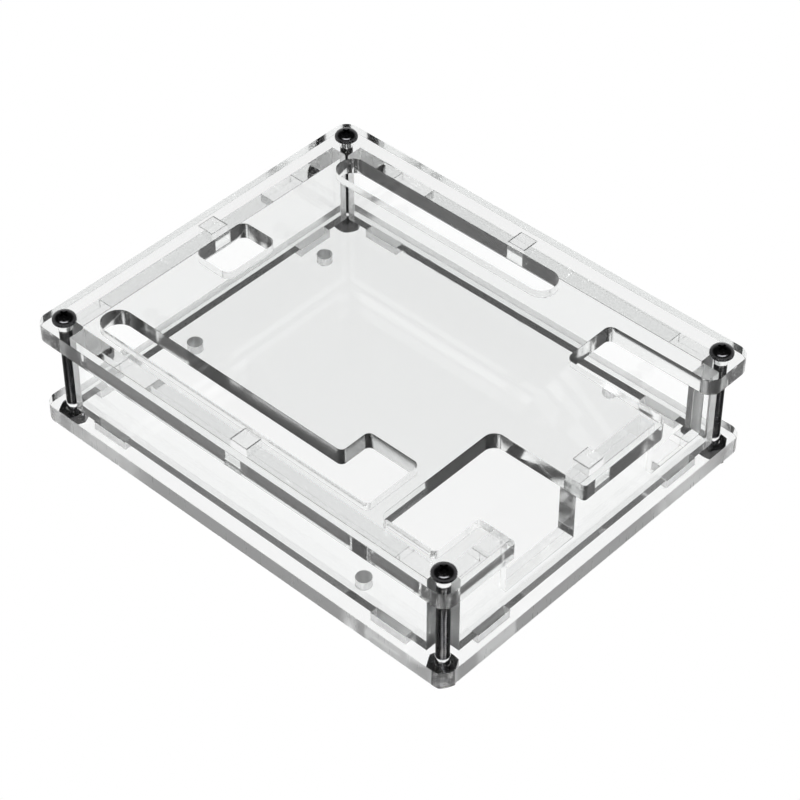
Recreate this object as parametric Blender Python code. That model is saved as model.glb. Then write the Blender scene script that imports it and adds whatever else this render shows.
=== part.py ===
"""Clear case of laser-cut acrylic sheets for a 68.6 x 53.3 mm microcontroller board.

Two plates hold four upright walls between them by tabs in slots, and a screw and a nut
at each corner clamp the stack. Metres, +Z up. The origin is below the middle of the case,
on the plane of the nuts' undersides, which are its feet. +X is the end with the USB and
power-jack openings, and -Y is the long side with the stepped header slot, called the front.
"""

import math

import bmesh
import bpy
from mathutils import Matrix, Vector

# Driving dimensions.
SHEET = 0.0028  # thickness of every acrylic sheet
CASE_LENGTH = 0.0796  # both plates, along X
CASE_WIDTH = 0.0648  # both plates, along Y
CASE_CORNER_RADIUS = 0.0022
CAVITY_HEIGHT = 0.0127  # between the two plates
GAP = 0.00025  # between faces that meet, and round each tab in its slot

SCREW_SPACING_X = 0.0734
SCREW_SPACING_Y = 0.0584
THREAD_DIAMETER = 0.0020  # M2
SCREW_LENGTH = 0.020  # under the head
SCREW_HOLE_DIAMETER = 0.0026
HEAD_DIAMETER = 0.0036
HEAD_HEIGHT = 0.0013
HEAD_RIM_HEIGHT = 0.0003  # upright edge below the dome
DOME_STEPS = 5
SHANK_CHAMFER = 0.0002
RECESS_SPAN = 0.0019  # cross recess, tip to tip
RECESS_WIDTH = 0.00045
RECESS_DEPTH = 0.0007
RECESS_FLOOR_SHARE = 0.55  # the recess's size at its floor, as a share of its mouth
RECESS_MOUTH_Z = 0.0016  # the cutter reaches above the head
NUT_ACROSS_FLATS = 0.0040
NUT_HEIGHT = 0.0016
NUT_BORE_DIAMETER = 0.0022  # clears the thread, so that the screw can turn in it

LONG_WALL_OUTER_Y = 0.0302  # outer faces of the long walls
SHORT_WALL_OUTER_X = 0.0379  # outer faces of the short walls
LONG_WALL_HALF_LENGTH = 0.0347
SHORT_WALL_HALF_LENGTH = 0.0273
TOP_TAB_LENGTH = 0.0030  # one tab at the middle of each wall
BOTTOM_TAB_LENGTH = 0.0064  # two tabs on each wall
LONG_WALL_TAB_X = 0.0277  # centres of the long walls' bottom tabs
SHORT_WALL_TAB_Y = 0.0202
SHORT_WALL_TOP_TAB_Y = 0.0002
LONG_WALL_TOP_TAB_X = -0.0002

# Connector openings, as spans of Y. The uprights between them stand on one sill.
SILL_HEIGHT = 0.0040
WALL_USB_OPENING = (-0.0180, -0.0039)
WALL_JACK_OPENING = (0.0130, 0.0241)
PLATE_USB_NOTCH = (-0.0271, -0.0044)
PLATE_USB_NOTCH_X = 0.0234  # inner end
EAR_X = 0.0333  # the front right corner's ear covers the wall's first upright
EAR_END_Y = -0.0184
PLATE_JACK_NOTCH = (0.0135, 0.0232)
PLATE_JACK_NOTCH_X = 0.0212
TONGUE_ROOT_RADIUS = 0.0018  # where the tongue between the notches meets the USB notch and the end
EAR_ROOT_RADIUS = 0.0010
NOTCH_CORNER_RADIUS = 0.0011
BLUNT_CORNER_RADIUS = 0.0006

# Header openings in the top plate.
FRONT_SLOT_X = (-0.0334, 0.0206)
FRONT_SLOT_Y = (-0.0267, -0.0217)
FRONT_SLOT_STEP_X = 0.0111  # from here the slot is wider
FRONT_SLOT_WIDE_Y = -0.0163
BACK_SLOT_X = (-0.0331, 0.0099)
BACK_SLOT_Y = (0.0217, 0.0267)
END_OPENING_X = (-0.0339, -0.0268)
END_OPENING_Y = (-0.0061, 0.0040)
SLOT_END_RADIUS = 0.0024  # nearly half of a header slot's width
END_OPENING_RADIUS = 0.0014
STEP_RADIUS = 0.0009  # corners of the front slot's wide part

# The board's mounting holes, in the bottom plate, as distances from the board's corner.
BOARD_HOLE_DIAMETER = 0.0024
BOARD_CORNER = (0.0345, 0.0263)  # the board's corner nearest the power jack
BOARD_HOLES = ((0.0140, 0.0025), (0.0153, 0.0507), (0.0661, 0.0076), (0.0661, 0.0355))

ARC_STEP = math.radians(7.5)
ROUND_SIDES = 32
SMOOTH_ANGLE = math.radians(35)
MERGE_DISTANCE = 1e-6

# Levels that follow.
BOTTOM_PLATE_Z = NUT_HEIGHT + GAP
CAVITY_FLOOR_Z = BOTTOM_PLATE_Z + SHEET
TOP_PLATE_Z = CAVITY_FLOOR_Z + CAVITY_HEIGHT
HEAD_Z = TOP_PLATE_Z + SHEET + GAP
WALL_HEIGHT = CAVITY_HEIGHT - 2 * GAP
TAB_DEPTH = SHEET + GAP  # a tab ends level with the plate's far face

CORNERS = {
    "front_left": (-1, -1),
    "front_right": (1, -1),
    "back_left": (-1, 1),
    "back_right": (1, 1),
}


def clear_scene():
    for obj in list(bpy.data.objects):
        bpy.data.objects.remove(obj, do_unlink=True)


def make_material(name, colour, roughness, metallic, alpha=1.0):
    material = bpy.data.materials.new(name)
    material.use_nodes = True
    shader = material.node_tree.nodes["Principled BSDF"]
    shader.inputs["Base Color"].default_value = (*colour, 1.0)
    shader.inputs["Roughness"].default_value = roughness
    shader.inputs["Metallic"].default_value = metallic
    shader.inputs["IOR"].default_value = 1.49
    shader.inputs["Alpha"].default_value = alpha
    material.diffuse_color = (*colour, alpha)
    return material


def acrylic(name):
    return make_material(name + "_acrylic", (0.93, 0.95, 0.95), 0.05, 0.0, alpha=0.3)


def black_plating(name):
    return make_material(name + "_black_plating", (0.05, 0.05, 0.055), 0.22, 1.0)


def rounded_outline(corners):
    """The closed outline through (x, y, radius) corners, with an arc at each corner that has a radius."""
    outline = []
    for index, (x, y, radius) in enumerate(corners):
        corner = Vector((x, y))
        if not radius:
            outline.append(corner)
            continue
        before = (Vector(corners[index - 1][:2]) - corner).normalized()
        after = (Vector(corners[(index + 1) % len(corners)][:2]) - corner).normalized()
        half_angle = before.angle(after) / 2
        centre = corner + (before + after).normalized() * radius / math.sin(half_angle)
        reach = radius / math.tan(half_angle)
        start = corner + before * reach - centre
        end = corner + after * reach - centre
        sweep = start.angle_signed(end)
        steps = max(2, round(abs(sweep) / ARC_STEP))
        for step in range(steps + 1):
            turn = Matrix.Rotation(-sweep * step / steps, 2)
            outline.append(centre + turn @ start)
    return outline


def rectangle(centre, length, width, radius=0.0):
    (x, y), half_x, half_y = centre, length / 2, width / 2
    return rounded_outline(
        [
            (x - half_x, y - half_y, radius),
            (x + half_x, y - half_y, radius),
            (x + half_x, y + half_y, radius),
            (x - half_x, y + half_y, radius),
        ]
    )


def span_rectangle(span_x, span_y, radius):
    centre = (sum(span_x) / 2, sum(span_y) / 2)
    return rectangle(centre, span_x[1] - span_x[0], span_y[1] - span_y[0], radius)


def circle(centre, diameter):
    angles = (2 * math.pi * side / ROUND_SIDES for side in range(ROUND_SIDES))
    return [Vector(centre) + Vector((math.cos(a), math.sin(a))) * diameter / 2 for a in angles]


def new_mesh_object(name, build, material=None):
    """An object whose mesh the function build makes in a bmesh."""
    mesh = bpy.data.meshes.new(name)
    bm = bmesh.new()
    build(bm)
    bmesh.ops.recalc_face_normals(bm, faces=bm.faces)
    bm.to_mesh(mesh)
    bm.free()
    if material:
        mesh.materials.append(material)
    obj = bpy.data.objects.new(name, mesh)
    bpy.context.scene.collection.objects.link(obj)
    return obj


def extrude_loops(bm, loops, low, high):
    """A flat solid between two levels: the first loop is its outline, and the others are its holes."""
    edges = []
    for loop in loops:
        verts = [bm.verts.new((x, y, low)) for x, y in loop]
        edges += [bm.edges.new((verts[i - 1], verts[i])) for i in range(len(verts))]
    filled = bmesh.ops.triangle_fill(bm, use_beauty=True, use_dissolve=False, edges=edges)
    faces = [item for item in filled["geom"] if isinstance(item, bmesh.types.BMFace)]
    raised = bmesh.ops.extrude_face_region(bm, geom=faces, use_keep_orig=True)
    verts = [item for item in raised["geom"] if isinstance(item, bmesh.types.BMVert)]
    bmesh.ops.translate(bm, verts=verts, vec=(0, 0, high - low))


def cut_sheet(name, outline, holes=()):
    """One laser-cut sheet: a flat outline with its holes, half its thickness each side of its origin."""
    loops = (outline, *holes)
    return new_mesh_object(name, lambda bm: extrude_loops(bm, loops, -SHEET / 2, SHEET / 2), acrylic(name))


def screw_hole_loops():
    return [
        circle((sx * SCREW_SPACING_X / 2, sy * SCREW_SPACING_Y / 2), SCREW_HOLE_DIAMETER)
        for sx, sy in CORNERS.values()
    ]


def tab_slots(long_wall_tabs, short_wall_tabs, tab_length):
    """The slots in a plate for the tabs of all four walls."""
    along = tab_length + 2 * GAP
    across = SHEET + 2 * GAP
    long_wall_y = LONG_WALL_OUTER_Y - SHEET / 2
    short_wall_x = SHORT_WALL_OUTER_X - SHEET / 2
    slots = [rectangle((x, side * long_wall_y), along, across) for side in (-1, 1) for x in long_wall_tabs]
    slots += [rectangle((side * short_wall_x, y), across, along) for side in (-1, 1) for y in short_wall_tabs]
    return slots


def make_bottom_plate():
    corner_x, corner_y = BOARD_CORNER
    board_holes = [circle((corner_x - x, corner_y - y), BOARD_HOLE_DIAMETER) for x, y in BOARD_HOLES]
    slots = tab_slots(
        (-LONG_WALL_TAB_X, LONG_WALL_TAB_X), (-SHORT_WALL_TAB_Y, SHORT_WALL_TAB_Y), BOTTOM_TAB_LENGTH
    )
    outline = rectangle((0, 0), CASE_LENGTH, CASE_WIDTH, CASE_CORNER_RADIUS)
    plate = cut_sheet("bottom_plate", outline, screw_hole_loops() + slots + board_holes)
    plate.location.z = BOTTOM_PLATE_Z + SHEET / 2


def top_plate_outline():
    """The lid's outline, with its notches over the USB socket and the power jack at the +X end."""
    end_x, side_y = CASE_LENGTH / 2, CASE_WIDTH / 2
    return rounded_outline(
        [
            (-end_x, -side_y, CASE_CORNER_RADIUS),
            (end_x, -side_y, CASE_CORNER_RADIUS),
            (end_x, EAR_END_Y, BLUNT_CORNER_RADIUS),
            (EAR_X, EAR_END_Y, BLUNT_CORNER_RADIUS),
            (EAR_X, PLATE_USB_NOTCH[0], EAR_ROOT_RADIUS),
            (PLATE_USB_NOTCH_X, PLATE_USB_NOTCH[0], EAR_ROOT_RADIUS),
            (PLATE_USB_NOTCH_X, PLATE_USB_NOTCH[1], TONGUE_ROOT_RADIUS),
            (end_x, PLATE_USB_NOTCH[1], BLUNT_CORNER_RADIUS),
            (end_x, PLATE_JACK_NOTCH[0], TONGUE_ROOT_RADIUS),
            (PLATE_JACK_NOTCH_X, PLATE_JACK_NOTCH[0], NOTCH_CORNER_RADIUS),
            (PLATE_JACK_NOTCH_X, PLATE_JACK_NOTCH[1], NOTCH_CORNER_RADIUS),
            (end_x, PLATE_JACK_NOTCH[1], CASE_CORNER_RADIUS),
            (end_x, side_y, CASE_CORNER_RADIUS),
            (-end_x, side_y, CASE_CORNER_RADIUS),
        ]
    )


def front_header_slot():
    """The front header slot, which steps wider towards the connector end."""
    near, far = FRONT_SLOT_Y
    return rounded_outline(
        [
            (FRONT_SLOT_X[0], near, SLOT_END_RADIUS),
            (FRONT_SLOT_X[1], near, STEP_RADIUS),
            (FRONT_SLOT_X[1], FRONT_SLOT_WIDE_Y, STEP_RADIUS),
            (FRONT_SLOT_STEP_X, FRONT_SLOT_WIDE_Y, STEP_RADIUS),
            (FRONT_SLOT_STEP_X, far, STEP_RADIUS),
            (FRONT_SLOT_X[0], far, SLOT_END_RADIUS),
        ]
    )


def make_top_plate():
    back_slot = span_rectangle(BACK_SLOT_X, BACK_SLOT_Y, SLOT_END_RADIUS)
    end_opening = span_rectangle(END_OPENING_X, END_OPENING_Y, END_OPENING_RADIUS)
    slots = tab_slots((LONG_WALL_TOP_TAB_X,), (SHORT_WALL_TOP_TAB_Y,), TOP_TAB_LENGTH)
    holes = [front_header_slot(), back_slot, end_opening] + slots + screw_hole_loops()
    plate = cut_sheet("top_plate", top_plate_outline(), holes)
    plate.location.z = TOP_PLATE_Z + SHEET / 2


def tab_points(centre, length, edge, tip):
    """The corners of a tab on an edge, in the order in which the outline meets them."""
    reach = math.copysign(length / 2, tip - edge)
    near, far = centre + reach, centre - reach
    return [(near, edge, 0), (near, tip, 0), (far, tip, 0), (far, edge, 0)]


def wall_outline(half_length, bottom_tab, top_tab, openings=()):
    """A wall's outline. Each opening is a notch cut down from the top edge to the sill."""
    outline = [(-half_length, 0, 0)]
    for centre in (-bottom_tab, bottom_tab):
        outline += tab_points(centre, BOTTOM_TAB_LENGTH, 0, -TAB_DEPTH)
    outline += [(half_length, 0, 0), (half_length, WALL_HEIGHT, 0)]
    top = [(top_tab, tab_points(top_tab, TOP_TAB_LENGTH, WALL_HEIGHT, WALL_HEIGHT + TAB_DEPTH))]
    for low, high in openings:
        notch = [(high, WALL_HEIGHT, 0), (high, SILL_HEIGHT, 0), (low, SILL_HEIGHT, 0), (low, WALL_HEIGHT, 0)]
        top.append((low, notch))
    for _, points in sorted(top, reverse=True):
        outline += points
    outline.append((-half_length, WALL_HEIGHT, 0))
    return rounded_outline(outline)


def make_walls():
    upright = math.pi / 2
    wall_z = CAVITY_FLOOR_Z + GAP
    long_outline = wall_outline(LONG_WALL_HALF_LENGTH, LONG_WALL_TAB_X, LONG_WALL_TOP_TAB_X)
    for name, side in (("front_long_wall", -1), ("back_long_wall", 1)):
        wall = cut_sheet(name, long_outline)
        wall.location = (0, side * (LONG_WALL_OUTER_Y - SHEET / 2), wall_z)
        wall.rotation_euler = (upright, 0, 0)
    openings = {"plain_end_wall": (), "connector_end_wall": (WALL_USB_OPENING, WALL_JACK_OPENING)}
    for name, side in (("plain_end_wall", -1), ("connector_end_wall", 1)):
        outline = wall_outline(SHORT_WALL_HALF_LENGTH, SHORT_WALL_TAB_Y, SHORT_WALL_TOP_TAB_Y, openings[name])
        wall = cut_sheet(name, outline)
        wall.location = (side * (SHORT_WALL_OUTER_X - SHEET / 2), 0, wall_z)
        wall.rotation_euler = (upright, 0, upright)


def turn_profile(bm, profile):
    """Spins a profile of (radius, z) points about Z. Its ends lie on the axis."""
    verts = [bm.verts.new((radius, 0, z)) for radius, z in profile]
    edges = [bm.edges.new(pair) for pair in zip(verts, verts[1:])]
    bmesh.ops.spin(
        bm,
        geom=verts + edges,
        cent=(0, 0, 0),
        axis=(0, 0, 1),
        angle=2 * math.pi,
        steps=ROUND_SIDES,
        use_merge=True,
        use_duplicate=False,
    )
    bmesh.ops.remove_doubles(bm, verts=bm.verts, dist=MERGE_DISTANCE)


def build_screw(bm):
    """A pan head on a plain shank. The head's underside is at z = 0."""
    rim, thread = HEAD_DIAMETER / 2, THREAD_DIAMETER / 2
    dome = HEAD_HEIGHT - HEAD_RIM_HEIGHT
    profile = [(0, HEAD_HEIGHT)]
    for step in range(1, DOME_STEPS + 1):
        angle = math.pi / 2 * (1 - step / DOME_STEPS)
        profile.append((rim * math.cos(angle), HEAD_RIM_HEIGHT + dome * math.sin(angle)))
    profile += [
        (rim, 0),
        (thread, 0),
        (thread, SHANK_CHAMFER - SCREW_LENGTH),
        (thread - SHANK_CHAMFER, -SCREW_LENGTH),
        (0, -SCREW_LENGTH),
    ]
    turn_profile(bm, profile)


def build_cross_recess(bm):
    """The cutter of the cross recess: two tapered blades joined as one plus-shaped prism."""
    half_span, half_width = RECESS_SPAN / 2, RECESS_WIDTH / 2
    arm = [
        (half_span, -half_width),
        (half_span, half_width),
        (half_width, half_width),
    ]
    outline = []
    for quarter in range(4):
        turn = Matrix.Rotation(quarter * math.pi / 2, 2)
        outline += [turn @ Vector(point) for point in arm]
    floor = [bm.verts.new((*(p * RECESS_FLOOR_SHARE), HEAD_HEIGHT - RECESS_DEPTH)) for p in outline]
    mouth = [bm.verts.new((*p, RECESS_MOUTH_Z)) for p in outline]
    bm.faces.new(floor)
    bm.faces.new(mouth)
    for index in range(len(outline)):
        following = (index + 1) % len(outline)
        bm.faces.new((floor[index], floor[following], mouth[following], mouth[index]))


def build_nut(bm):
    """A hexagon nut with its bore, standing on z = 0."""
    hex_radius = NUT_ACROSS_FLATS / 2 / math.cos(math.pi / 6)
    corners = (Matrix.Rotation(side * math.pi / 3, 2) @ Vector((hex_radius, 0)) for side in range(6))
    extrude_loops(bm, (list(corners), circle((0, 0), NUT_BORE_DIAMETER)), 0, NUT_HEIGHT)


def smooth_shade(mesh):
    mesh.shade_smooth()
    mesh.set_sharp_from_angle(angle=SMOOTH_ANGLE)


def make_fasteners():
    recess = new_mesh_object("cross_recess_cutter", build_cross_recess)
    recess.hide_render = True
    recess.display_type = "WIRE"
    for corner, (sx, sy) in CORNERS.items():
        x, y = sx * SCREW_SPACING_X / 2, sy * SCREW_SPACING_Y / 2
        screw_name, nut_name = "corner_screw_" + corner, "corner_nut_" + corner
        screw = new_mesh_object(screw_name, build_screw, black_plating(screw_name))
        screw.location = (x, y, HEAD_Z)
        smooth_shade(screw.data)
        cutter = recess.copy()
        cutter.name = "cutter_" + corner
        cutter.parent = screw
        bpy.context.scene.collection.objects.link(cutter)
        cut = screw.modifiers.new("cross_recess", "BOOLEAN")
        cut.operation = "DIFFERENCE"
        cut.solver = "EXACT"
        cut.object = cutter
        nut = new_mesh_object(nut_name, build_nut, black_plating(nut_name))
        nut.location = (x, y, 0)
        smooth_shade(nut.data)
    bpy.data.objects.remove(recess, do_unlink=True)


def main():
    clear_scene()
    make_bottom_plate()
    make_walls()
    make_top_plate()
    make_fasteners()


main()
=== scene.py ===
"""Looks of a clear case of laser-cut acrylic sheets, with its screws and nuts, on a white sweep.

Each sheet is made from its CAD node: the joints between tabs and slots are closed up, the
edges are eased, and the faces are sorted into polished ones and laser-cut ones. The screws
and nuts are modelled again, with threads, a cross recess and chamfers. Metres, +Z up.
"""

import math

import bmesh
import bpy
from mathutils import Matrix, Vector


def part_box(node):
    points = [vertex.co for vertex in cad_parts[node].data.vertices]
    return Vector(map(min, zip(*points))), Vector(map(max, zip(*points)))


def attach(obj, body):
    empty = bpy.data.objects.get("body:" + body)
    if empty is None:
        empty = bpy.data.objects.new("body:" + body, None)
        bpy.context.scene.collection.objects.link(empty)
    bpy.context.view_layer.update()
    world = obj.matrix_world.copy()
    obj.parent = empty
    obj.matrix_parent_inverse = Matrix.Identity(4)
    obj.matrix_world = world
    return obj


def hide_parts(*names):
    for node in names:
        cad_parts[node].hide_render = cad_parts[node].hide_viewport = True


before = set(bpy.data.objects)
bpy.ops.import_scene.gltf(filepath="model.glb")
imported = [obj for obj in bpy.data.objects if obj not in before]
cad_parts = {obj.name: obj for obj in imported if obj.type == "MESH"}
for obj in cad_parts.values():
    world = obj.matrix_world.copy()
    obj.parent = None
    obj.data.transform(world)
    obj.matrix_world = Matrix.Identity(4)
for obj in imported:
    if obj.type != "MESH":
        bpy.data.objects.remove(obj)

MM = 0.001

# Camera, in the frame of the CAD.
LENS_MM = 122.5575
SENSOR_WIDTH_MM = 36
CAMERA_AZIMUTH = math.radians(42.907)
CAMERA_ELEVATION = math.radians(42.982)
CAMERA_DISTANCE = 389.71 * MM
CAMERA_TARGET = Vector((4.02, -2.41, 12.08)) * MM
CLIP_START = 10 * MM

# Studio: a white floor and horizon, a dark ceiling, and a long softbox above the camera.
# Elevations are given as their sines.
FLOOR_RADIUS = 3.0
FLOOR_SEGMENTS = 96
FLOOR_DROP = 0.02 * MM
WHITE = 1.0
WHITE_BELOW = math.sin(math.radians(18))
DARK_ABOVE = math.sin(math.radians(34))
CEILING = 0.06
SOFTBOX_BOTTOM = (math.sin(math.radians(50)), math.sin(math.radians(54)))
SOFTBOX_TOP = (math.sin(math.radians(63)), math.sin(math.radians(67)))
SOFTBOX_SIDES = (0.30, 0.38)  # how far a direction leans to the camera's side
SOFTBOX_STRENGTH = 15.0
MAX_BOUNCES = 40  # light crosses many faces of the clear sheets
GLOSSY_BOUNCES = 8

# The sheets: the body that each one is on, and the axis of its thickness.
SHEETS = {
    "bottom_plate": ("base", 2),
    "top_plate": ("lid", 2),
    "front_long_wall": ("base", 1),
    "back_long_wall": ("base", 1),
    "connector_end_wall": ("base", 0),
    "plain_end_wall": ("base", 0),
}
PLATES = ("bottom_plate", "top_plate")
WALLS = [node for node in SHEETS if node not in PLATES]

# Their shapes.
EDGE_BEVEL = 0.04 * MM
RIM_ANGLE = math.radians(60)  # edges sharper than this are eased
JOIN_ANGLE = math.radians(1)  # facets that meet within this become one face
FLAT = 0.95  # a normal this near the thickness axis is on a polished face
PERIMETER = 0.1 * MM  # a face this near the edge of its sheet is on the outline
CORNER_REACH = 2.5 * MM  # the plates' rounded corners lie within this
MERGE_DISTANCE = 0.001 * MM
SMOOTH_ANGLE = math.radians(25)
JOINT_REACH = 0.4 * MM  # a wall's end this near a plate meets it
SLOT_GAP = 0.25 * MM  # round each tab in the CAD
FIT = 0.03 * MM  # what is left of the gap at a joint
SLOT_FIT = 0.08 * MM
TAB_SPACING = 8 * MM  # corners further apart than this belong to different slots

# Their surfaces. A noise is a scale in grains per metre and a detail. Levels are where in the
# noise a mark starts and where it is full, and a bump is a strength and a distance.
ACRYLIC_IOR = 1.49
POLISHED_TINT = (0.985, 0.99, 0.988)
SMUDGE_NOISE = (60, 3)
SMUDGE_LEVELS = (0.58, 0.75)
SMUDGE_ROUGHNESS = (0.0, 0.05)
WIPING_NOISE = (90, 4)
WIPING_STRETCH = (1, 14, 1)
WIPING_LEVELS = (0.62, 0.66)
WIPING_BUMP = (0.04, 0.01 * MM)
RIB_NOISE = (6000, 2)  # ribs left by the beam
RIB_LENGTH = 0.04
RIB_LEVELS = (0.3, 0.7)
RIB_DEPTH = 0.02 * MM
RIB_SPREAD = 0.15  # how far the roughness goes either way, as a share of it
CUTS = {  # each kind of laser-cut face: its roughness, haze, tint and the strength of its ribs
    "clear": (0.05, 0.0, (0.97, 0.975, 0.972), 0.015),
    "glassy": (0.13, 0.0, (0.93, 0.94, 0.935), 0.02),
    "satin": (0.32, 0.22, (0.93, 0.935, 0.933), 0.006),
    "frosted": (0.45, 0.1, (0.76, 0.77, 0.765), 0.04),
}

# Fasteners.
SEGMENTS = 60
PITCH = 0.4 * MM
RINGS_PER_PITCH = 6
MAJOR_RADIUS = 0.99 * MM
MINOR_RADIUS = 0.77 * MM
CREST, FLANK = 0.8, 0.62  # where the flank starts, and its width, as shares of half a pitch
THREAD_CLEARANCE = 0.02 * MM
HOLE_RADIUS = 1.04 * MM  # in the plates
HOLE_REACH = 1.6 * MM  # a corner of a plate's mesh this near a screw's axis is on its hole
TIP_RADIUS = 0.72 * MM
RUN_OUT = 0.3 * MM  # plain stretch under the head
HEAD_RADIUS = 1.8 * MM
HEAD_RIM_HEIGHT = 0.3 * MM
HEAD_HEIGHT = 1.3 * MM
HEAD_EASE = 0.06 * MM
HEAD_STEPS = 14
RECESS_SPAN = 2.0 * MM
RECESS_WIDTH = 0.5 * MM
RECESS_DEPTH = 0.75 * MM
RECESS_FLOOR_SHARE = 0.5
NUT_APOTHEM = 2.0 * MM
NUT_FACE_RADIUS = 1.94 * MM
NUT_CHAMFER_SLOPE = math.tan(math.radians(30))
COUNTERSINK_RADIUS = 1.1 * MM

# Their plating, with painted light on the threads and the nuts.
BLACK = (0.05, 0.05, 0.053, 1)
# painted light and wear: the lighter black of the threads and the nuts
PAINTED_LIGHT_AND_WEAR_BLACK = (0.10, 0.098, 0.096, 1)
WEAR_NOISE = (900, 4)
WEAR_LEVELS = (0.4, 0.7)
PAINTED_LIGHT_SHARES = (1.0, 0.25)  # of the threads and the nuts, and of the heads: painted light, stronger below the lid where light comes through the acrylic
PAINTED_LIGHT_BORDER = (-0.25 * MM, 0.05 * MM)  # where one gives way to the other, from the lid's top face
GRAIN_NOISE = (2500, 3)
GRAIN_LEVELS = (0.35, 0.7)
GRAIN_ROUGHNESS = (0.12, 0.28)
GRAIN_BUMP = (0.06, 0.01 * MM)
MIX_FACTOR, MIX_A, MIX_B, MIX_RESULT = 0, 6, 7, 2  # the colour sockets of a mix node

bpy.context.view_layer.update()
boxes = {node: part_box(node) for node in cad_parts}


def camera_side(elevation):
    """The direction at an elevation above the camera's azimuth."""
    level = math.cos(elevation)
    across, along = math.sin(CAMERA_AZIMUTH), math.cos(CAMERA_AZIMUTH)
    return Vector((across * level, -along * level, math.sin(elevation)))


def add_camera():
    back = camera_side(CAMERA_ELEVATION)
    data = bpy.data.cameras.new("camera")
    data.sensor_width = SENSOR_WIDTH_MM
    data.lens = LENS_MM
    data.clip_start = CLIP_START
    camera = bpy.data.objects.new("camera", data)
    camera.location = CAMERA_TARGET + back * CAMERA_DISTANCE
    camera.rotation_euler = back.to_track_quat("Z", "Y").to_euler()
    bpy.context.scene.collection.objects.link(camera)
    bpy.context.scene.camera = camera


def ranged(tree, value, levels, results, interpolation="LINEAR"):
    """A value that goes from one result to the other between two levels."""
    node = tree.nodes.new("ShaderNodeMapRange")
    node.interpolation_type = interpolation
    for socket, number in zip(node.inputs[1:5], (*levels, *results)):
        socket.default_value = number
    tree.links.new(value, node.inputs["Value"])
    return node.outputs[0]


def faded(tree, value, levels, results):
    """As ranged, with a smooth start and end."""
    return ranged(tree, value, levels, results, "SMOOTHSTEP")


def product(tree, first, second):
    node = tree.nodes.new("ShaderNodeMath")
    node.operation = "MULTIPLY"
    tree.links.new(first, node.inputs[0])
    tree.links.new(second, node.inputs[1])
    return node.outputs[0]


def add_world():
    """White up to the horizon and a little above it, dark overhead, with the softbox in it."""
    world = bpy.data.worlds.new("studio")
    world.use_nodes = True
    tree = world.node_tree
    nodes, links = tree.nodes, tree.links
    nodes.clear()
    coords = nodes.new("ShaderNodeTexCoord")
    split = nodes.new("ShaderNodeSeparateXYZ")
    links.new(coords.outputs["Generated"], split.inputs[0])
    height = split.outputs["Z"]
    sky = faded(tree, height, (WHITE_BELOW, DARK_ABOVE), (WHITE, CEILING))
    towards = nodes.new("ShaderNodeVectorMath")
    towards.operation = "DOT_PRODUCT"
    towards.inputs[1].default_value = camera_side(0)
    links.new(coords.outputs["Generated"], towards.inputs[0])
    bottom = faded(tree, height, SOFTBOX_BOTTOM, (0, 1))
    top = faded(tree, height, SOFTBOX_TOP, (SOFTBOX_STRENGTH, 0))
    sides = faded(tree, towards.outputs["Value"], SOFTBOX_SIDES, (0, 1))
    total = nodes.new("ShaderNodeMath")
    total.operation = "MULTIPLY_ADD"
    for socket, value in zip(total.inputs, (product(tree, bottom, sides), top, sky)):
        links.new(value, socket)
    background = nodes.new("ShaderNodeBackground")
    output = nodes.new("ShaderNodeOutputWorld")
    links.new(total.outputs[0], background.inputs["Strength"])
    links.new(background.outputs[0], output.inputs[0])
    bpy.context.scene.world = world


def add_floor():
    mesh = bpy.data.meshes.new("floor")
    bm = bmesh.new()
    bmesh.ops.create_circle(bm, cap_ends=True, segments=FLOOR_SEGMENTS, radius=FLOOR_RADIUS)
    bm.to_mesh(mesh)
    bm.free()
    material = bpy.data.materials.new("white_floor")
    material.use_nodes = True
    nodes, links = material.node_tree.nodes, material.node_tree.links
    nodes.clear()
    emission = nodes.new("ShaderNodeEmission")
    emission.inputs["Strength"].default_value = WHITE
    output = nodes.new("ShaderNodeOutputMaterial")
    links.new(emission.outputs[0], output.inputs[0])
    mesh.materials.append(material)
    floor = bpy.data.objects.new("floor", mesh)
    floor.location.z = -FLOOR_DROP
    bpy.context.scene.collection.objects.link(floor)


def set_view():
    scene = bpy.context.scene
    scene.view_settings.view_transform = "Standard"
    scene.cycles.max_bounces = MAX_BOUNCES
    scene.cycles.transmission_bounces = MAX_BOUNCES
    scene.cycles.glossy_bounces = GLOSSY_BOUNCES
    scene.cycles.use_denoising = True


def new_material(name):
    """A material with its node tree and its shader."""
    material = bpy.data.materials.new(name)
    material.use_nodes = True
    return material, material.node_tree, material.node_tree.nodes["Principled BSDF"]


def make_clear(shader, tint, haze):
    shader.inputs["Base Color"].default_value = (*tint, 1)
    shader.inputs["Transmission Weight"].default_value = 1 - haze
    shader.inputs["IOR"].default_value = ACRYLIC_IOR


def object_noise(tree, scale, detail, stretch=(1, 1, 1)):
    """The value of a noise texture in the object's own coordinates."""
    coords = tree.nodes.new("ShaderNodeTexCoord")
    mapping = tree.nodes.new("ShaderNodeMapping")
    mapping.inputs["Scale"].default_value = stretch
    noise = tree.nodes.new("ShaderNodeTexNoise")
    noise.inputs["Scale"].default_value = scale
    noise.inputs["Detail"].default_value = detail
    tree.links.new(coords.outputs["Object"], mapping.inputs["Vector"])
    tree.links.new(mapping.outputs["Vector"], noise.inputs["Vector"])
    return noise.outputs[0]


def add_bump(tree, shader, height, strength, distance):
    bump = tree.nodes.new("ShaderNodeBump")
    bump.inputs["Strength"].default_value = strength
    bump.inputs["Distance"].default_value = distance
    tree.links.new(height, bump.inputs["Height"])
    tree.links.new(bump.outputs[0], shader.inputs["Normal"])


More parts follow.
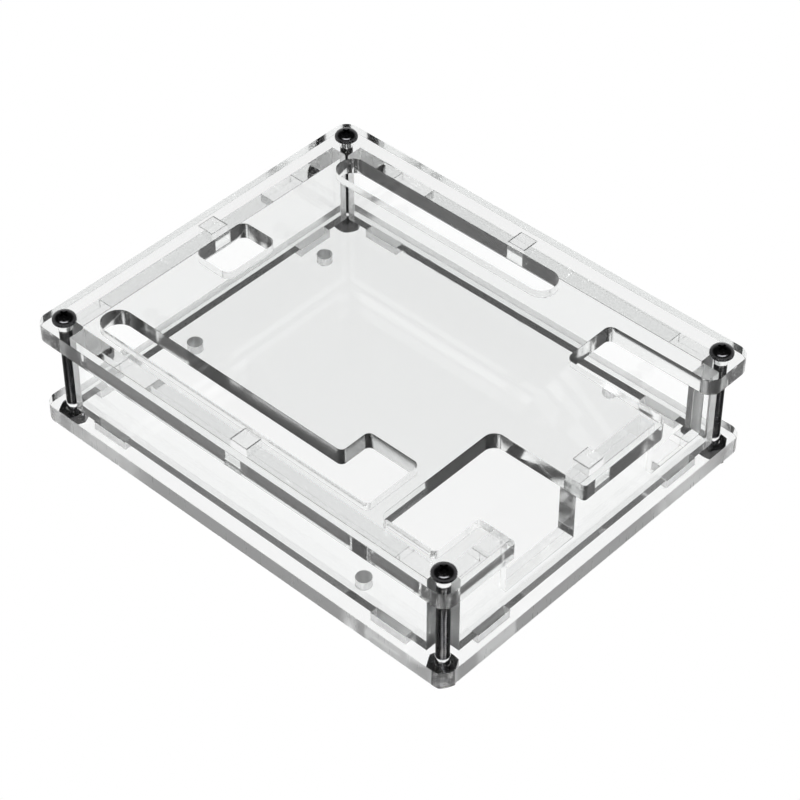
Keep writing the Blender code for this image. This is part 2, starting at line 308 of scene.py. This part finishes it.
def polished_acrylic():
    """The sheet's own faces: clear, with a few soft smudges and fine wiping marks."""
    material, tree, shader = new_material("polished_acrylic")
    make_clear(shader, POLISHED_TINT, haze=0)
    smudges = ranged(tree, object_noise(tree, *SMUDGE_NOISE), SMUDGE_LEVELS, SMUDGE_ROUGHNESS)
    tree.links.new(smudges, shader.inputs["Roughness"])
    marks = ranged(tree, object_noise(tree, *WIPING_NOISE, WIPING_STRETCH), WIPING_LEVELS, (0, 1))
    add_bump(tree, shader, marks, *WIPING_BUMP)
    return material


def cut_acrylic(kind, thickness_axis):
    """A laser-cut face, ribbed across the sheet by the beam."""
    roughness, haze, tint, rib_strength = CUTS[kind]
    material, tree, shader = new_material(f"{kind}_cut_{'xyz'[thickness_axis]}")
    make_clear(shader, tint, haze)
    stretch = [1, 1, 1]
    stretch[thickness_axis] = RIB_LENGTH
    ribs = object_noise(tree, *RIB_NOISE, stretch)
    extremes = (roughness * (1 - RIB_SPREAD), roughness * (1 + RIB_SPREAD))
    tree.links.new(ranged(tree, ribs, RIB_LEVELS, extremes), shader.inputs["Roughness"])
    add_bump(tree, shader, ribs, rib_strength, RIB_DEPTH)
    return material


def black_plating():
    """Black on the heads. The threads and the nuts are painted lighter, as if lit through the clear
    sheets, in random patches of wear.
    """
    material, tree, shader = new_material("black_plating")
    shader.inputs["Metallic"].default_value = 1
    nodes, links = tree.nodes, tree.links
    grain = object_noise(tree, *GRAIN_NOISE)
    links.new(ranged(tree, grain, GRAIN_LEVELS, GRAIN_ROUGHNESS), shader.inputs["Roughness"])
    coords = nodes.new("ShaderNodeTexCoord")
    split = nodes.new("ShaderNodeSeparateXYZ")
    links.new(coords.outputs["Object"], split.inputs[0])
    border = [boxes["top_plate"][1][2] + offset for offset in PAINTED_LIGHT_BORDER]
    # painted light: lighter below the lid's top face, where the threads and the nuts are seen through
    # the acrylic
    share = ranged(tree, split.outputs["Z"], border, PAINTED_LIGHT_SHARES)
    wear = ranged(tree, object_noise(tree, *WEAR_NOISE), WEAR_LEVELS, (0, 1))
    tint = nodes.new("ShaderNodeMix")
    tint.data_type = "RGBA"
    tint.inputs[MIX_A].default_value = BLACK
    tint.inputs[MIX_B].default_value = PAINTED_LIGHT_AND_WEAR_BLACK
    links.new(product(tree, share, wear), tint.inputs[MIX_FACTOR])
    links.new(tint.outputs[MIX_RESULT], shader.inputs["Base Color"])
    add_bump(tree, shader, grain, *GRAIN_BUMP)
    return material


def close_wall_gaps(bm):
    """Brings a wall's long edges to the plate that it stands on and the one that it carries."""
    floor_z = boxes["bottom_plate"][1][2]
    ceiling_z = boxes["top_plate"][0][2]
    for vert in bm.verts:
        if 0 < vert.co.z - floor_z < JOINT_REACH:
            vert.co.z = floor_z + FIT
        elif 0 < ceiling_z - vert.co.z < JOINT_REACH:
            vert.co.z = ceiling_z - FIT


def middle(node):
    """The middle of a node's box, level with the origin."""
    low, high = boxes[node]
    return Vector(((low[0] + high[0]) / 2, (low[1] + high[1]) / 2, 0))


def screw_axes():
    return [middle(node) for node in boxes if "screw" in node]


def from_axis(point, axis):
    return Vector((point.x - axis.x, point.y - axis.y, 0))


def close_holes(bm):
    """Narrows each screw hole of a plate to the screw."""
    for axis in screw_axes():
        for vert in bm.verts:
            offset = from_axis(vert.co, axis)
            if offset.length < HOLE_REACH:
                vert.co += offset.normalized() * HOLE_RADIUS - offset


def close_slots(bm):
    """Narrows each tab slot of a plate to its tab, and gives the slot's faces material index 1."""
    slot_verts = set()
    for wall in WALLS:
        low, high = boxes[wall]
        along = 1 - SHEETS[wall][1]
        inside = [
            vert
            for vert in bm.verts
            if all(low[i] - JOINT_REACH < vert.co[i] < high[i] + JOINT_REACH for i in (0, 1))
        ]
        inside.sort(key=lambda vert: vert.co[along])
        slots = []
        for vert in inside:
            if not slots or vert.co[along] - slots[-1][-1].co[along] > TAB_SPACING:
                slots.append([])
            slots[-1].append(vert)
        for slot in slots:
            centre = sum((vert.co for vert in slot), Vector()) / len(slot)
            for vert in slot:
                slot_verts.add(vert)
                for i in (0, 1):
                    vert.co[i] -= math.copysign(SLOT_GAP - SLOT_FIT, vert.co[i] - centre[i])
    for face in bm.faces:
        face.material_index = int(slot_verts.issuperset(face.verts))


def cut_kind(node, face):
    """The kind, in CUTS, of a laser-cut face."""
    low, high = boxes[node]
    centre = face.calc_center_median()
    inset = [min(centre[i] - low[i], high[i] - centre[i]) for i in (0, 1)]
    if node in PLATES:
        if face.material_index:
            return "glassy" if node == "top_plate" else "frosted"
        in_hole = any(from_axis(centre, axis).length < HOLE_REACH for axis in screw_axes())
        if in_hole or max(inset) < CORNER_REACH:
            return "clear"
        if node == "top_plate":
            return "glassy"
        return "satin" if min(inset) < PERIMETER else "frosted"
    along = 1 - SHEETS[node][1]
    upright = abs(face.normal.z) < 1 - FLAT
    return "frosted" if upright and inset[along] < PERIMETER else "clear"


def make_sheet(node, polished, cuts):
    """A finer copy of a sheet's CAD node, with a material for each kind of face."""
    body, thickness_axis = SHEETS[node]
    mesh = bpy.data.meshes.new(node + "_sheet")
    bm = bmesh.new()
    bm.from_mesh(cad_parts[node].data)
    bmesh.ops.remove_doubles(bm, verts=bm.verts, dist=MERGE_DISTANCE)
    bmesh.ops.dissolve_limit(bm, angle_limit=JOIN_ANGLE, verts=bm.verts, edges=bm.edges)
    bmesh.ops.recalc_face_normals(bm, faces=bm.faces)
    if node in PLATES:
        close_holes(bm)
        close_slots(bm)
    else:
        close_wall_gaps(bm)
    rims = [edge for edge in bm.edges if edge.calc_face_angle(0) > RIM_ANGLE]
    bmesh.ops.bevel(bm, geom=rims, offset=EDGE_BEVEL, segments=1, affect="EDGES", profile=0.5)
    kinds = []
    for face in bm.faces:
        face.smooth = True
        kind = "polished" if abs(face.normal[thickness_axis]) > FLAT else cut_kind(node, face)
        if kind not in kinds:
            kinds.append(kind)
        face.material_index = kinds.index(kind)
    bm.to_mesh(mesh)
    bm.free()
    for kind in kinds:
        mesh.materials.append(polished if kind == "polished" else cuts[kind])
    mesh.set_sharp_from_angle(angle=SMOOTH_ANGLE)
    sheet = bpy.data.objects.new(node + "_sheet", mesh)
    bpy.context.scene.collection.objects.link(sheet)
    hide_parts(node)
    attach(sheet, body)


def thread_radius(angle, z):
    """A right-hand thread: the crest climbs by one pitch for each turn."""
    phase = (z / PITCH - angle / (2 * math.pi)) % 1
    height = (CREST - abs(2 * phase - 1)) / FLANK
    return MINOR_RADIUS + (MAJOR_RADIUS - MINOR_RADIUS) * min(1, max(0, height))


def ring(z, radius_of):
    """A ring of points about Z. radius_of gives the radius at an angle. z is a height, or gives one."""
    points = []
    for side in range(SEGMENTS):
        angle = 2 * math.pi * side / SEGMENTS
        radius = radius_of(angle)
        height = z(angle) if callable(z) else z
        points.append(Vector((radius * math.cos(angle), radius * math.sin(angle), height)))
    return points


def bridge_rings(bm, rings, closed):
    """Quads between rings in turn. If closed, the last ring joins the first, else both get caps."""
    rows = [[bm.verts.new(point) for point in points] for points in rings]
    following = rows[1:] + (rows[:1] if closed else [])
    for row, after in zip(rows, following):
        for side in range(SEGMENTS):
            nearby = (side + 1) % SEGMENTS
            bm.faces.new((row[side], row[nearby], after[nearby], after[side]))
    if not closed:
        bm.faces.new(rows[0])
        bm.faces.new(rows[-1])
    bmesh.ops.recalc_face_normals(bm, faces=bm.faces)


def to_mesh(bm, name):
    mesh = bpy.data.meshes.new(name)
    bm.to_mesh(mesh)
    bm.free()
    return mesh


def thread_levels(low, high):
    count = math.ceil((high - low) / PITCH * RINGS_PER_PITCH)
    return [low + (high - low) * step / count for step in range(count + 1)]


def screw_blank(tip_z, under_head_z):
    """A pan head on a threaded shank, without its recess."""

    def shank_radius(z):
        limit = TIP_RADIUS + (z - tip_z)
        share = min(1, (under_head_z - z) / RUN_OUT)

        def radius(angle):
            height = thread_radius(angle, z) - MINOR_RADIUS
            return min(limit, MINOR_RADIUS + height * share)

        return radius

    rings = [ring(z, shank_radius(z)) for z in thread_levels(tip_z, under_head_z)]
    rings.append(ring(under_head_z, lambda angle: HEAD_RADIUS - HEAD_EASE))
    rings.append(ring(under_head_z + HEAD_EASE, lambda angle: HEAD_RADIUS))
    for step in range(HEAD_STEPS):
        turn = math.pi / 2 * step / HEAD_STEPS
        height = HEAD_RIM_HEIGHT + (HEAD_HEIGHT - HEAD_RIM_HEIGHT) * math.sin(turn)
        rings.append(ring(under_head_z + height, lambda angle: HEAD_RADIUS * math.cos(turn)))
    bm = bmesh.new()
    bridge_rings(bm, rings, closed=False)
    return to_mesh(bm, "screw_blank")


def recess_cutter(head_top_z):
    """A cross that tapers downwards and reaches above the head."""
    half_span, half_width = RECESS_SPAN / 2, RECESS_WIDTH / 2
    arm = [(half_span, -half_width), (half_span, half_width), (half_width, half_width)]
    quarters = [Matrix.Rotation(quarter * math.pi / 2, 2) for quarter in range(4)]
    outline = [quarter @ Vector(point) for quarter in quarters for point in arm]
    bm = bmesh.new()
    floor_z, mouth_z = head_top_z - RECESS_DEPTH, head_top_z + RECESS_DEPTH
    floor = [bm.verts.new((*(point * RECESS_FLOOR_SHARE), floor_z)) for point in outline]
    mouth = [bm.verts.new((*point, mouth_z)) for point in outline]
    bm.faces.new(floor)
    bm.faces.new(mouth)
    for index in range(len(outline)):
        after = (index + 1) % len(outline)
        bm.faces.new((floor[index], floor[after], mouth[after], mouth[index]))
    bmesh.ops.recalc_face_normals(bm, faces=bm.faces)
    return to_mesh(bm, "recess_cutter")


def make_screw_mesh(tip_z, under_head_z):
    """The blank with its recess cut out."""
    scene = bpy.context.scene
    blank = bpy.data.objects.new("blank", screw_blank(tip_z, under_head_z))
    cutter = bpy.data.objects.new("cutter", recess_cutter(under_head_z + HEAD_HEIGHT))
    for obj in (blank, cutter):
        scene.collection.objects.link(obj)
    cut = blank.modifiers.new("recess", "BOOLEAN")
    cut.operation = "DIFFERENCE"
    cut.solver = "EXACT"
    cut.object = cutter
    finished = blank.evaluated_get(bpy.context.evaluated_depsgraph_get())
    mesh = bpy.data.meshes.new_from_object(finished)
    for obj in (blank, cutter):
        bpy.data.objects.remove(obj, do_unlink=True)
    return mesh


def make_nut_mesh(low_z, high_z):
    """A hexagon nut with chamfered corners and a threaded bore."""

    def flat_radius(angle):
        return NUT_APOTHEM / math.cos(angle % (math.pi / 3) - math.pi / 6)

    def chamfer_depth(angle):
        return max(0, flat_radius(angle) - NUT_FACE_RADIUS) * NUT_CHAMFER_SLOPE

    def bore_radius(z):
        sink = COUNTERSINK_RADIUS - min(z - low_z, high_z - z)
        return lambda angle: max(sink, thread_radius(angle, z) + THREAD_CLEARANCE)

    rings = [ring(z, bore_radius(z)) for z in thread_levels(low_z, high_z)]
    rings += [
        ring(high_z, lambda angle: NUT_FACE_RADIUS),
        ring(lambda angle: high_z - chamfer_depth(angle), flat_radius),
        ring(lambda angle: low_z + chamfer_depth(angle), flat_radius),
        ring(low_z, lambda angle: NUT_FACE_RADIUS),
    ]
    bm = bmesh.new()
    bridge_rings(bm, rings, closed=True)
    return to_mesh(bm, "nut")


def place_fastener(node, body, mesh):
    """The mesh, which stands on the Z axis, moved to the middle of a CAD node."""
    piece = bpy.data.objects.new(node + "_fine", mesh)
    piece.location = middle(node)
    bpy.context.scene.collection.objects.link(piece)
    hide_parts(node)
    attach(piece, body)


def make_fasteners():
    """Screws whose heads come down onto the lid, and nuts that come up to the bottom plate."""
    corners = [node.removeprefix("corner_screw_") for node in boxes if "screw" in node]
    under_head_z = boxes["top_plate"][1][2] + FIT
    screw_low, screw_high = boxes["corner_screw_" + corners[0]]
    drop = screw_high[2] - HEAD_HEIGHT - under_head_z
    screw_mesh = make_screw_mesh(screw_low[2] - drop, under_head_z)
    nut_low_z = boxes["corner_nut_" + corners[0]][0][2]
    nut_mesh = make_nut_mesh(nut_low_z, boxes["bottom_plate"][0][2] - FIT)
    plating = black_plating()
    for mesh in (screw_mesh, nut_mesh):
        mesh.materials.clear()
        mesh.materials.append(plating)
        mesh.shade_smooth()
        mesh.set_sharp_from_angle(angle=SMOOTH_ANGLE)
    for corner in corners:
        place_fastener("corner_screw_" + corner, "screw_" + corner, screw_mesh)
        place_fastener("corner_nut_" + corner, "nut_" + corner, nut_mesh)


def make_sheets():
    polished = polished_acrylic()
    for axis in range(3):
        cuts = {kind: cut_acrylic(kind, axis) for kind in CUTS}
        for node in SHEETS:
            if SHEETS[node][1] == axis:
                make_sheet(node, polished, cuts)


add_camera()
add_world()
add_floor()
set_view()
make_sheets()
make_fasteners()
